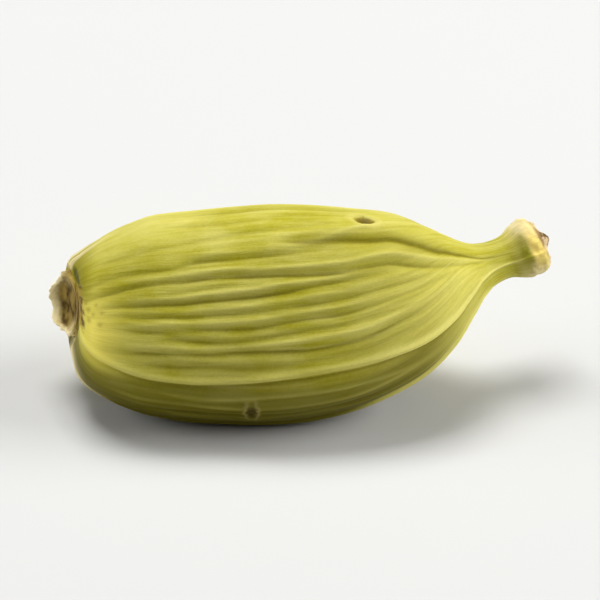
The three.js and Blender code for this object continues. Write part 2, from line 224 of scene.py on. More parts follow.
def groove_lines(s):
    """For each groove, its angle and depth in mm at every row s."""
    x = station(s, 0)
    lines = []
    for k, pts in enumerate(FRONT_GROOVES):
        v = interp(pts, x, 1) + wander(x, 100 + k, 0.9, 0.004)
        d = 50 * (np.maximum(interp(pts, x, 2), 0) / 50) ** 0.78 * DEPTH * (1 + wander(x, 300 + k, 0.8, 0.10))
        d = np.where((x < pts[0][0]) | (x > pts[-1][0]), 0, d)
        lines.append((side_angle(s, v), d, 1.6 if k == 0 else 1.0))
    twist = np.radians(station(s, 6))
    g = np.random.default_rng(77)
    # The sides away from the viewer, by the same spacing, length and depth
    for side, half, apothem, count in ((120, 39, 1.0, 11), (240, 39, 1.0, 11), (180, 21, STRIP, 5),
                                       (300, 21, STRIP, 5), (60, 21, STRIP, 4)):
        lo, hi = -1.0, 1.0
        if side == 300:
            lo, hi = -1.0, 0.2
        if side == 60:
            lo, hi = 0.45, 1.0
            count = 2
        for j in range(count):
            u = lo + (hi - lo) * (j + 0.5 + g.uniform(-0.24, 0.24)) / count
            u *= 0.93
            a = math.atan(u * math.tan(math.radians(half)))
            start, end = g.uniform(-8.0, -5.2), g.uniform(2.2, 6.4)
            strength = g.choice([14, 24, 34, 44, 54], p=[0.18, 0.24, 0.24, 0.22, 0.12])
            seed = int(g.integers(1, 10**6))
            d = strength * DEPTH * smooth(start, start + 1.8, x) * (1 - smooth(end - 2.2, end, x))
            d = d * np.clip(1 + wander(x, seed, 1.6, 0.25), 0.15, 2)
            ang = math.radians(side) + a + twist + wander(x, seed + 1, 2.4, 0.012) + wander(x, seed + 2, 0.9, 0.004)
            lines.append((ang, d, 1.0))
    return lines


def crest_lines(s):
    """For each raised line, its angle and its strength from 0 to 1 at every row s."""
    x = station(s, 0)
    twist = np.radians(station(s, 6))
    lines = []
    for k, pts in enumerate(FRONT_CRESTS):
        v = interp(pts, x, 1) + wander(x, 700 + k, 0.9, 0.003)
        d = np.maximum(interp(pts, x, 2), 0) / 50 * (1 + wander(x, 740 + k, 0.8, 0.12))
        lines.append((side_angle(s, v), np.where((x < pts[0][0]) | (x > pts[-1][0]), 0, d)))
    g = np.random.default_rng(78)
    for side, half, count in ((120, 39, 11), (240, 39, 11), (180, 21, 5), (300, 21, 2)):
        lo, hi = (-1.0, 0.2) if side == 300 else (-1.0, 1.0)
        for j in range(count):
            u = 0.93 * (lo + (hi - lo) * (j + 1.0 + g.uniform(-0.15, 0.15)) / count)
            a = math.atan(u * math.tan(math.radians(half)))
            start, end = g.uniform(-7.4, -5.0), g.uniform(2.6, 6.6)
            seed = int(g.integers(1, 10**6))
            d = g.uniform(0.2, 1.0) * smooth(start, start + 1.4, x) * (1 - smooth(end - 2, end, x))
            ang = math.radians(side) + a + twist + wander(x, seed + 1, 2.4, 0.010)
            lines.append((ang, d * np.clip(1 + wander(x, seed, 1.6, 0.2), 0.2, 1.6)))
    return lines


# The lower edge vein in front: position along the pod and height on the side
LOW_VEIN = [(-8.6, -.40), (-8.0, -.455), (-7.2, -.515), (-6.4, -.57), (-5.6, -.60), (-4.97, -.612), (-3.07, -.618), (-1.06, -.583), (.9, -.548),
            (2.5, -.545), (4.07, -.56), (5.0, -.555), (5.8, -.53), (6.45, -.42), (7.2, -.34), (8.2, -.3)]


def vein_offset(k, s):
    """How far edge vein k strays from its corner."""
    x = station(s, 0)
    off = wander(x, 500 + k, 2.5, 0.012)
    if k == 0:
        off = off * 0.3 + np.radians(13) * smooth(-0.5, 3.2, x) * (1 - smooth(4.5, 6.5, x)) + np.radians(28) * (1 - smooth(-6.8, -3.6, x))
    if k == 5:
        off = wrap(side_angle(s, interp(LOW_VEIN, x, 1)) - VEINS[5] - np.radians(station(s, 6)))
    return off


def radius_field(s, phi):
    """Finished radius over the grid, and the masks that colour it."""
    x = station(s, 0)[:, None]
    r0 = base_radius(s, phi)
    half = station(s, 2)[:, None]
    twist = np.radians(station(s, 6))[:, None]
    height = np.zeros_like(r0)
    groove = np.zeros_like(r0)
    for ang, d, w in groove_lines(s):
        arc = wrap(phi[None, :] - ang[:, None]) * r0
        scale = np.clip(half / 2.6, 0.22, 1.0)
        narrow = np.exp(-(np.sqrt(arc**2 + 0.03**2) - 0.03) / (0.07 * w * scale + 0.008))
        wide = np.exp(-0.5 * (arc / (0.15 * w * scale)) ** 2)
        dd = d[:, None] * np.clip(half / 1.9, 0.42, 1.0)
        height -= dd * (0.5 * narrow + 0.5 * wide)
        # the grooves' colour: their own darker olive with painted shade added, widest and strongest along the top
        # groove
        shade = np.clip(d[:, None] / (55 * DEPTH), 0, 1) ** 0.8 * (1.5 if w > 1 else 1)
        groove = np.maximum(groove, shade * np.exp(-(np.sqrt(arc**2 + 0.03**2) - 0.03) / (0.10 * w * scale)))
    # thin raised lines, from the table in front and beside each groove elsewhere
    ridge = np.zeros_like(r0)
    for ang, d in crest_lines(s):
        arc = wrap(phi[None, :] - ang[:, None]) * r0
        sc = np.clip(half / 2.6, 0.25, 1.0)
        prof = d[:, None] * np.exp(-0.5 * (arc / (0.075 * sc)) ** 2)
        ridge = np.maximum(ridge, prof)
    height += 50 * RIDGE * ridge * np.clip(half / 2.2, 0.4, 1.0)
    # six edge veins, sharper and paler than the ribs
    vein = np.zeros_like(r0)
    for k, a in enumerate(VEINS):
        xs = x[:, 0]
        off = vein_offset(k, s)
        arc = wrap(phi[None, :] - (a + twist + off[:, None])) * r0
        sc = np.clip(half / 2.6, 0.25, 1.0)
        strong = {0: 0.85, 5: 1.45, 4: 1.1}.get(k, 0.95) * (1 + wander(xs, 520 + k, 1.6, 0.12))[:, None]
        if k == 5:
            strong = strong * (1 + 0.5 * smooth(1.5, 4.5, xs) * (1 - smooth(6.6, 7.6, xs)))[:, None]
        if k == 0:
            strong = strong * (0.9 * smooth(-2.5, 2.0, xs) + 0.55 * (1 - smooth(-7.4, -6.4, xs)))[:, None]
        height += strong * ((0.035 if k == 5 else 0.055) * np.exp(-0.5 * (arc / ((0.20 if k == 5 else 0.27) * sc)) ** 2) + 0.062 * np.exp(-0.5 * (arc / (0.085 * sc)) ** 2)) * np.clip(half / 2.2, 0.45, 1)
        # towards the blunt end the veins stand out as struts
        ends = 1 - smooth(-8.55, -7.4, x)
        height += ends * 0.16 * np.exp(-0.5 * (arc / 0.17) ** 2)
        paint, broad = strong, 0.11
        if k == 5:
            paint = strong * (0.52 + 0.48 * smooth(0.5, 3.2, xs))[:, None]
        if k == 4:
            along = (smooth(0.8, 3.6, xs) * (1 - smooth(6.3, 7.1, xs)))[:, None]
            paint, broad = 0.2 + 0.8 * along, 0.11 + 0.17 * along
        vein = np.maximum(vein, paint * np.exp(-0.5 * (arc / (broad * sc)) ** 2))
    # faint raised fibres between the grooves
    fibre = np.zeros_like(r0)
    u = phi[None, :] - twist
    for k in range(46):
        g = np.random.default_rng(900 + k)
        a = g.uniform(0, 2 * math.pi)
        start, end = g.uniform(-7.5, 0), g.uniform(1, 7.0)
        arc = wrap(u - (a + wander(x[:, 0], 930 + k, 3.0, 0.012)[:, None])) * r0
        f = smooth(start, start + 1.2, x) * (1 - smooth(end - 1.2, end, x)) * g.uniform(0.4, 1.0)
        fibre = np.maximum(fibre, f * np.exp(-0.5 * (arc / 0.045) ** 2))
    height += 0.015 * fibre
    # puckering round the blunt end: the skin sinks between the struts, just before the flower
    near_vein = np.zeros_like(r0)
    for k, a in enumerate(VEINS):
        off = vein_offset(k, s)[:, None]
        near_vein = np.maximum(near_vein, (0.5 if k == 5 else 1.0) * np.exp(-0.5 * (wrap(u - a - off) * r0 / (0.31 if k == 4 else 0.26)) ** 2))
    # the crease follows the flower's edge, wanders and comes and goes
    line = -8.36 - 0.16 * (u - 0.8) * (np.abs(u - 0.8) < 0.7) + 0.05 * np.sin(3 * u + 1.0) + 0.03 * np.sin(7 * u)
    crease = np.exp(-0.5 * ((x - line) / (0.060 + 0.02 * np.sin(2 * u + 0.5))) ** 2)
    reach = np.zeros_like(r0)
    for c, width, amp in ((0.84, 0.34, 1.0), (2 * math.pi / 3 - 0.1, 0.40, 0.30), (4 * math.pi / 3, 0.42, 0.25)):
        reach = np.maximum(reach, amp * np.exp(-((wrap(u - c) / width) ** 4)))
    pucker = crease * reach * (1 - 0.85 * near_vein)
    height -= 0.17 * pucker
    # the skin's end swells a little behind the crease
    height += 0.05 * np.exp(-0.5 * ((x + 8.05) / 0.16) ** 2) * reach * (1 - near_vein)
    # the belly hangs a little lower behind the flower
    height += 0.14 * np.exp(-0.5 * (((x + 7.75) / 0.48) ** 2 + (wrap(u + 1.3) / 0.42) ** 2)) * smooth(-8.55, -8.15, x)
    # low swells over the seeds
    swell = np.zeros_like(r0)
    g = np.random.default_rng(7)
    for _ in range(22):
        n, m, p = g.integers(1, 6), g.uniform(-1.5, 1.5), g.uniform(0, 6.28)
        swell += g.normal(0, 1) * np.cos(n * u + m * x * 0.75 + p)
    height += 0.0085 * swell * np.clip(half / 3.4, 0, 1) ** 2
    return r0 + height, groove, np.clip(vein, 0, 1), np.maximum(fibre * 0.6, ridge), pucker, near_vein


def grid_mesh(name, points, close_first=None, close_last=None, attrs=None, uv=True, hard_last=False):
    """A mesh from a grid of points [row, column, xyz in mm], closed round its columns."""
    rows, cols = points.shape[:2]
    verts = points.reshape(-1, 3)
    extra = []
    i = np.arange(rows - 1)[:, None] * cols
    j = np.arange(cols)[None, :]
    k = (j + 1) % cols
    quads = np.stack([i + j, i + cols + j, i + cols + k, i + k], -1).reshape(-1, 4)
    faces = [tuple(q) for q in quads.tolist()]
    n = len(verts)
    if close_first is not None:
        extra.append(close_first)
        faces += [(n, a, (a + 1) % cols) for a in range(cols)]
        n += 1
    if close_last is not None:
        extra.append(close_last)
        b = (rows - 1) * cols
        faces += [(n, b + (a + 1) % cols, b + a) for a in range(cols)]
        n += 1
    if extra:
        verts = np.vstack([verts, np.array(extra)])
    mesh = bpy.data.meshes.new(name)
    mesh.from_pydata((verts * MM).tolist(), [], faces)
    mesh.polygons.foreach_set("use_smooth", [True] * len(mesh.polygons))
    for key, value in (attrs or {}).items():
        value = np.asarray(value, float)
        if value.ndim == 3:
            flat = value.reshape(-1, 3)
            flat = np.vstack([flat, np.zeros((n - len(flat), 3)) + flat.mean(0)])
            at = mesh.attributes.new(key, "FLOAT_VECTOR", "POINT")
            at.data.foreach_set("vector", flat.astype(np.float32).ravel())
        else:
            flat = value.ravel()
            pad = [flat[:cols].mean()] if close_first is not None else []
            pad += [flat[-cols:].mean()] if close_last is not None else []
            flat = np.concatenate([flat, pad])
            at = mesh.attributes.new(key, "FLOAT", "POINT")
            at.data.foreach_set("value", flat.astype(np.float32))
    if uv:
        layer = mesh.uv_layers.new(name="OFBake")
        loops = np.zeros(len(mesh.loops), int)
        mesh.loops.foreach_get("vertex_index", loops)
        starts = np.zeros(len(mesh.polygons), int)
        totals = np.zeros(len(mesh.polygons), int)
        mesh.polygons.foreach_get("loop_start", starts)
        mesh.polygons.foreach_get("loop_total", totals)
        row, col = loops // cols, loops % cols
        lu, lv = col / cols, row / (rows - 1)
        poly = np.repeat(np.arange(len(starts)), totals)
        # a face over the seam takes the far side of it
        big = np.zeros(len(starts))
        np.maximum.at(big, poly, lu)
        lu = np.where((lu == 0) & (big[poly] > 0.5), 1.0, lu)
        is_extra = loops >= rows * cols
        first = is_extra & (loops == rows * cols) & (close_first is not None)
        lv = np.where(is_extra, np.where(first, 0.0, 1.0), lv)
        mean_u = np.zeros(len(starts))
        np.add.at(mean_u, poly, np.where(is_extra, 0, lu))
        lu = np.where(is_extra, mean_u[poly] / 2, lu)
        lv = 0.03 + 0.94 * lv
        # the caps' faces take a strip of their own below and above the grid
        cap_first = np.zeros(len(starts), bool)
        cap_last = np.zeros(len(starts), bool)
        np.logical_or.at(cap_first, poly, first)
        np.logical_or.at(cap_last, poly, is_extra & ~first)
        lv = np.where(cap_first[poly], np.where(is_extra, 0.002, 0.028), lv)
        lv = np.where(cap_last[poly], np.where(is_extra, 0.998, 0.972), lv)
        layer.data.foreach_set("uv", np.stack([lu, lv], -1).astype(np.float32).ravel())
    mesh.validate()
    mesh.update()
    # hard edges where the caps meet the surface, so that they don't shade it
    ends = []
    if close_first is not None:
        ends.append((0, cols))
    if close_last is not None and hard_last:
        ends.append(((rows - 1) * cols, rows * cols))
    for edge in mesh.edges:
        a, b = edge.vertices
        if any(lo <= a < hi and lo <= b < hi for lo, hi in ends):
            edge.use_edge_sharp = True
    ob = bpy.data.objects.new(name, mesh)
    bpy.context.scene.collection.objects.link(ob)
    return ob


def rows_by_length(s0, s1, n, phi, weight=None):
    """n stations from s0 to s1, evenly spaced along the surface."""
    s = np.linspace(s0, s1, 3000)
    c = centre(s)
    r = station(s, 2)
    step = np.hypot(np.linalg.norm(np.diff(c, axis=0), axis=1), np.diff(r))
    if weight is not None:
        step = step * weight((s[1:] + s[:-1]) / 2)
    t = np.concatenate([[0], np.cumsum(step)])
    return np.interp(np.linspace(0, t[-1], n), t, s)


def skew(s, phi):
    t = np.clip((station(s, 0) - STATIONS[0, 0]) / SKEW_REACH, 0, 1)
    whole = (BLUNT_SKEW * (1 - t * t * (3 - 2 * t)))[:, None] * np.cos(phi)[None, :]
    # below the flower the belly bulges endwards
    rows = smooth(0.0, 0.8, s) * (1 - smooth(1.8, 4.0, s))
    return whole - 0.24 * rows[:, None] * np.exp(-0.5 * (wrap(phi + 1.45) / 0.50) ** 2)[None, :]


def place(s, phi, r):
    across, forward, along = axes(s)
    return (centre(s)[:, None, :] + skew(s, phi)[..., None] * RIGHT + r[..., None] * (np.cos(phi)[None, :, None] * forward[:, None, :]
            + np.sin(phi)[None, :, None] * across[:, None, :]) + SHIFT)


def soft_floor(p, k=0.05):
    """Presses flat what lies below the floor, with a soft edge."""
    z = p[..., 2]
    p[..., 2] = np.where(z > k, z, np.where(z < -k, 0, (z + k) ** 2 / (4 * k)))
    return p


# ---------------------------------------------------------------- husk
COLS, ROWS = 470, 208
phi = np.linspace(0, 2 * math.pi, COLS, endpoint=False)
s_rows = rows_by_length(0, HUSK_END, ROWS, phi)
radius, groove, vein, fibre, pucker, near_vein = radius_field(s_rows, phi)
X = station(s_rows, 0)[:, None] + 0 * radius
U = phi[None, :] - np.radians(station(s_rows, 6))[:, None]

# Fine streaks of the dried skin, by noise drawn out along the pod
streak = np.zeros_like(radius)
for i in range(ROWS):
    xi = X[i, 0]
    for j in range(COLS):
        u = U[i, j]
        streak[i, j] = noise.noise(Vector((xi * 0.55, math.cos(u) * 21, math.sin(u) * 21)))
radius = radius + 0.010 * streak * np.clip(station(s_rows, 2)[:, None] / 2.4, 0.3, 1) * smooth(-8.2, -6.0, X)

# Two scars: position along, angle, half length, half width, slant, depth
V_ANGLE = lambda x, v: float(side_angle(np.array([np.interp(x, STATIONS[:, 0], np.arange(len(STATIONS)))]), np.array([v]))[0])
SCARS = [
    (2.50, V_ANGLE(2.50, 0.877), 0.37, 0.27, 0.42, 0.16),
    (-1.74, V_ANGLE(-1.74, -0.905), 0.27, 0.66, 0.0, 0.06),
]
# Soft brown dimples near the blunt end: position, height on the side, size
DIMPLES = [(-7.72, .05, .12), (-7.44, -.01, .09), (-7.68, -.10, .11), (-7.13, -.13, .10), (-7.30, .12, .08), (-7.88, .14, .10), (-7.05, .02, .07)]
marks = []
for k, (sx, sa, sl, sw, slant, sd) in enumerate(SCARS):
    turn = wrap(U - sa)
    dx = X - sx
    dy = turn * station(s_rows, 2)[:, None] + slant * dx
    a, b = np.where(np.abs(turn) > 1.5, 9.0, dx / sl), dy / sw
    marks.append(np.stack([np.clip(a, -9, 9), np.clip(b, -9, 9), 0 * a], -1))
    q2 = a**2 + b**2
    if k == 0:
        radius = radius - sd * np.exp(-(q2**1.4)) + 0.02 * np.exp(-(((np.sqrt(q2) - 1.6) / 0.4) ** 2))
    else:
        radius = radius + 0.05 * np.exp(-(((np.sqrt(q2) - 0.9) / 0.3) ** 2)) - sd * np.exp(-((q2 / 0.3) ** 1.2))
dimple = np.zeros_like(radius)
for dx0, dv, size in DIMPLES:
    d2 = ((X - dx0) ** 2 + (wrap(U - V_ANGLE(dx0, dv)) * station(s_rows, 2)[:, None]) ** 2) / size**2
    dimple = np.maximum(dimple, np.exp(-d2))
radius = radius - 0.018 * dimple

P = soft_floor(place(s_rows, phi, radius))
half = station(s_rows, 2)[:, None]
# the crease is brown in front and below, green towards the top; the lower strips get painted shade, darker towards the
# bottom edge
brown = np.exp(-((wrap(U - 4.2) / 0.5) ** 4)) + 0.5 * np.exp(-((wrap(U - 2.0) / 0.3) ** 4))
painted_underside_shade = smooth(math.radians(33), math.radians(43), np.abs(wrap(U + math.radians(4)))) * (wrap(U) < 0) * (1 - smooth(math.radians(128), math.radians(150), np.abs(wrap(U)))) * (1 - 0.75 * smooth(4.0, 6.0, X)) * (1 - smooth(5.8, 7.2, X))
stain = (1 - smooth(-8.5, -7.4, X)) * np.exp(-((wrap(U - 0.04) / 0.58) ** 4))
# painted light: a paler patch high on the top left
painted_light_top_left = np.exp(-0.5 * (((X + 5.4) / 1.5) ** 2 + (wrap(U - 1.22) / 0.30) ** 2))
prop = np.exp(-0.5 * (wrap(U + 1.40) / 0.16) ** 2) * (1 - smooth(-8.45, -7.70, X))
# painted shade, mixed towards olive: beside the blunt end's crease at the top, low on the front, along the top groove,
# above the lower vein and on the upper right shoulder
painted_shade_patches = (1 - smooth(-8.3, -7.2, X)) * smooth(0.08, 0.4, U) * (1 - smooth(1.3, 1.6, U))
level = radius * np.sin(phi)[None, :] / half
painted_underside_shade = painted_underside_shade * (0.78 + 0.22 * smooth(0.78, 0.95, -level)) * (1 - 0.35 * np.clip(fibre, 0, 1))
painted_shade_patches = np.maximum(painted_shade_patches, 0.5 * np.exp(-0.5 * (((X + 1.9) / 2.0) ** 2 + ((level + 0.50) / 0.055) ** 2)) * (np.cos(phi) > 0)[None, :])
line = interp(FRONT_GROOVES[0], X, 1)
near_line = np.exp(-0.5 * ((level - line - 0.02) / 0.075) ** 2) * smooth(-1.0, 1.2, X) * (1 - smooth(5.2, 6.6, X))
shoulder = np.exp(-0.5 * (((X - 4.0) / 2.0) ** 2 + ((level - 0.62) / 0.27) ** 2))
low_right = np.exp(-0.5 * (((X - 2.4) / 1.4) ** 2 + ((level + 0.43) / 0.075) ** 2))
painted_shade_patches = np.maximum(painted_shade_patches, (np.cos(phi) > 0)[None, :] * np.maximum(np.maximum(0.48 * near_line, 0.38 * low_right), 0.34 * shoulder))
yellow = np.exp(-0.5 * (((X + 7.35) / 0.62) ** 2 + (wrap(U + 0.25) / 0.34) ** 2))
yellow = np.maximum(yellow, 0.7 * np.exp(-0.5 * (((X + 7.5) / 0.8) ** 2 + (wrap(U - 2.3) / 0.4) ** 2)))
fib = np.stack([X, np.cos(U) * 3.8 + 0 * X, np.sin(U) * 3.8 + 0 * X], -1)
husk = grid_mesh(
    "husk_skin_mesh", P, hard_last=True,
    close_first=(centre(np.array([0.0]))[0] + SHIFT + 0.8 * RIGHT), close_last=(centre(np.array([HUSK_END]))[0] + SHIFT),
    attrs={
        "groove": groove, "vein": vein, "fibre": fibre, "pucker": pucker, "streak": streak * 0.5 + 0.5,
        "neck": smooth(0.0, 4.6, X) * (1 - 0.85 * smooth(5.6, 6.8, X)) * (1 - 0.45 * smooth(0.0, 0.45, level) * smooth(3.4, 4.8, X)), "lon": X, "blunt": 1 - smooth(-8.2, -6.6, X), "yellow": yellow,
        "mark_top": marks[0], "mark_low": marks[1], "nearvein": near_vein, "fib": fib, "brown": brown, "painted_underside_shade": painted_underside_shade, "stain": stain, "painted_shade_patches": painted_shade_patches, "painted_light_top_left": painted_light_top_left, "prop": prop, "dimple": dimple,
    },
)
husk.name = "pod_husk"

# ---------------------------------------------------------------- stalk stub
SC, SR = 190, 90
phi_s = np.linspace(0, 2 * math.pi, SC, endpoint=False)
s_st = np.concatenate([[HUSK_END - 0.35, HUSK_END - 0.12], rows_by_length(HUSK_END - 0.02, 23.6, SR, phi_s)])
rad_s, gr_s, ve_s, *_ = radius_field(s_st, phi_s)
tuck = np.where(np.arange(len(s_st)) < 2, 0.965, 1.0)[:, None]
lumps = np.zeros_like(rad_s)
knob = smooth(20.0, 22.0, s_st)[:, None]
for i, si in enumerate(s_st):
    for j, a in enumerate(phi_s):
        w = Vector((si * 0.5, math.cos(a) * 1.5, math.sin(a) * 1.5))
        lumps[i, j] = noise.fractal(w, 1.0, 2.0, 3)
streak_s = np.zeros_like(rad_s)
tw_s = np.radians(station(s_st, 6))
x_s = station(s_st, 0)
for i in range(len(s_st)):
    for j, a in enumerate(phi_s):
        w = a - tw_s[i]
        streak_s[i, j] = noise.noise(Vector((x_s[i] * 0.55, math.cos(w) * 21, math.sin(w) * 21)))
rad_s = rad_s + 0.010 * streak_s * np.clip(station(s_st, 2)[:, None] / 2.4, 0.3, 1)
rad_s = rad_s * tuck + knob * 0.09 * lumps + 0.012 * (1 - knob) * smooth(18.8, 19.6, s_st)[:, None] * np.cos(9 * phi_s + 0.7)[None, :]
# the lower side is cut back a little and the upper lip swells
rad_s = rad_s + knob * (0.05 * np.cos(phi_s - 1.5) - 0.03 * np.cos(2 * phi_s + 0.4))[None, :]
A = place(s_st, phi_s, rad_s)
# the broken end: over a lumpy lip and down into a shallow pit
ac, fo, al = axes(np.array([23.6]))
ac, fo, al = ac[0], fo[0], al[0]
al = np.cross(ac, fo)
if al[0] < 0:
    al = -al
end_c = centre(np.array([23.6]))[0] + SHIFT
edge = rad_s[-1]
profile = [(0.97, 0.05), (0.92, 0.10), (0.86, 0.135), (0.79, 0.15), (0.72, 0.14), (0.66, 0.10), (0.60, 0.03),
           (0.55, -0.05), (0.49, -0.12), (0.42, -0.165), (0.34, -0.185), (0.26, -0.18), (0.17, -0.16), (0.08, -0.15)]
rings = []
for q, (f, out) in enumerate(profile):
    ring = []
    for j, a in enumerate(phi_s):
        w = Vector((f * 2.2 * math.cos(a), f * 2.2 * math.sin(a), 4.0))
        n1 = noise.fractal(w * 1.5, 1.0, 2.0, 3)
        lip = 0.07 * math.sin(3 * a + 1.0) + 0.05 * math.sin(5 * a + 0.3)
        ring.append(end_c + edge[j] * f * (math.cos(a) * fo + math.sin(a) * ac)
                    + al * (out + 0.07 * n1 + lip * math.exp(-((f - 0.8) / 0.16) ** 2)))
    rings.append(ring)
B = np.array(rings)
pts = np.concatenate([A, B])
rows_b = np.array([p[0] for p in profile])
pit = np.concatenate([np.zeros(len(s_st)), smooth(0.86, 0.5, rows_b)])[:, None] + np.zeros((1, SC))
face = np.concatenate([np.zeros(len(s_st)), np.ones(len(profile))])[:, None] + np.zeros((1, SC))
s_all = np.concatenate([s_st, np.full(len(profile), 24.0)])
knob_all = smooth(19.0, 21.4, s_all)[:, None] + np.zeros((1, SC))
u_s = phi_s[None, :] - np.radians(station(np.minimum(s_all, 23.6), 6))[:, None]
fib_s = np.stack([station(np.minimum(s_all, 23.6), 0)[:, None] + 0 * pit, np.cos(u_s) * 3.8, np.sin(u_s) * 3.8], -1)
# a green wedge runs up the front of the swelling
wedge = np.exp(-0.5 * (wrap(phi_s + 0.12) / 0.50) ** 2)[None, :] * (smooth(19.3, 20.6, s_all) * (1 - smooth(21.1, 21.9, s_all)))[:, None]
gold = np.exp(-0.5 * (wrap(phi_s + 0.02) / 0.5) ** 2)[None, :] * (smooth(21.2, 21.9, s_all) * (1 - smooth(22.9, 23.6, s_all)))[:, None]
# browner over the right side of the knob's end: painted shade, with brown specks where the spots rise
specks_and_painted_shade = np.exp(-0.5 * (wrap(phi_s - 0.34) / 0.60) ** 2)[None, :] * smooth(22.3, 23.3, s_all)[:, None]
stub = grid_mesh("stalk_stub_mesh", pts, close_first=centre(np.array([s_st[0]]))[0] + SHIFT, close_last=pts[-1].mean(0),
                 attrs={"pit": pit, "face": face, "knob": knob_all, "fib": fib_s, "wedge": wedge, "gold": gold, "specks_and_painted_shade": specks_and_painted_shade, "neck": np.full_like(pit, 0.15),
                        "vein": np.vstack([ve_s, np.zeros((len(profile), SC))]), "fibre": np.zeros_like(pit),
                        "groove": np.vstack([gr_s, np.zeros((len(profile), SC))]),
                        "lump": np.vstack([lumps, np.zeros((len(profile), SC))])})
stub.name = "pod_stalk_stub"

# ---------------------------------------------------------------- withered flower
FC = 200
phi_f = np.linspace(0, 2 * math.pi, FC, endpoint=False)
tip = centre(np.array([0.0]))[0] + SHIFT
tac, tfo, _ = (v[0] for v in axes(np.array([0.0])))
tal = np.cross(tac, tfo)
if tal[0] < 0:
    tal = -tal
# outward distance and share of the husk's radius there, from inside the husk over the rim to the floor of the cup
cup = [(-0.16, 0.92, 0), (-0.06, 0.955, 0), (0.02, 0.965, 0), (0.08, 0.96, 0.1), (0.14, 0.95, 0.3), (0.20, 0.94, 0.5), (0.26, 0.935, 0.8),
       (0.32, 0.93, 1), (0.37, 0.92, 1), (0.41, 0.905, 1), (0.43, 0.88, 1), (0.43, 0.85, 1), (0.41, 0.825, 1), (0.36, 0.80, 1),
       (0.29, 0.78, 0.9), (0.21, 0.76, 0.7), (0.12, 0.735, 0.5), (0.04, 0.70, 0.4), (-0.03, 0.63, 0.3), (-0.07, 0.54, 0.25),
       (-0.09, 0.43, 0.2), (-0.07, 0.32, 0.2), (-0.04, 0.21, 0.1), (-0.03, 0.10, 0.0)]
TEAR = 0.93  # share of the rim's height that is torn away in front
husk_r = base_radius(np.array([0.0]), phi_f)[0]
fine = []
for a, b in zip(cup[:-1], cup[1:]):
    for t in (0, 1 / 3, 2 / 3):
        fine.append([a[k] * (1 - t) + b[k] * t for k in range(3)])
fine.append(list(cup[-1]))
pts_f, hollow, rimness, lumpf = [], [], [], []
strut = np.zeros(FC)
for v in VEINS:
    strut = np.maximum(strut, np.exp(-0.5 * (wrap(phi_f - v) / 0.16) ** 2))
total = len(fine)
for q, (out, f, ragged) in enumerate(fine):
    ring, lr = [], []
    for j, a in enumerate(phi_f):
        w = Vector((math.cos(a) * 1.9, math.sin(a) * 1.9, 7.0))
        slow = noise.fractal(w, 1.0, 2.0, 2)
        w2 = Vector((math.cos(a) * 6.5 * f, math.sin(a) * 6.5 * f, out * 7))
        fast = noise.fractal(w2, 1.0, 2.0, 3)
        left = 1 - TEAR * (1 + math.cos(a)) / 2
        o = out * (left if out > 0 else 1) + ragged * left * (0.16 * slow + 0.07 * fast - 0.02 + 0.04 * strut[j])
        rr = husk_r[j] * f * (1 + 0.05 * ragged * slow) + 0.035 * fast * min(1, f * 2) + 0.05 * strut[j] * (1 - q / total)
        ring.append(tip + BLUNT_SKEW * math.cos(a) * f * RIGHT - tal * o + rr * (math.cos(a) * tfo + math.sin(a) * tac))
        lr.append(fast)
    pts_f.append(ring)
    lumpf.append(lr)
    hollow.append(smooth(0.50, 0.62, q / total + 0.10 * np.cos(phi_f)) * (1 - 0.8 * (1 - smooth(0.75, 0.9, q / total)) * np.maximum(np.exp(-((wrap(phi_f + 1.35) / 0.42) ** 2)), np.exp(-((wrap(phi_f - 1.3) / 0.5) ** 2)))))
    rimness.append(np.full(FC, math.exp(-(((q / total) - 0.42) / 0.12) ** 2)))
pts_f = np.array(pts_f)
flower = grid_mesh("flower_remnant_mesh", pts_f, close_first=tip + tal * 0.16, close_last=pts_f[-1].mean(0),
                   attrs={"hollow": np.array(hollow), "rim": np.array(rimness), "lump": np.array(lumpf),
                          "near": np.tile(smooth(0.0, 0.5, np.cos(phi_f - 0.15)), (total, 1)),
                          "strut": np.tile(strut, (total, 1)) * (1 - smooth(0.1, 0.4, np.array([f[0] for f in fine])))[:, None]})
# its rows run against the pod, so the faces are turned to look outwards
flower.data.flip_normals()
flower.name = "pod_flower_remnant"


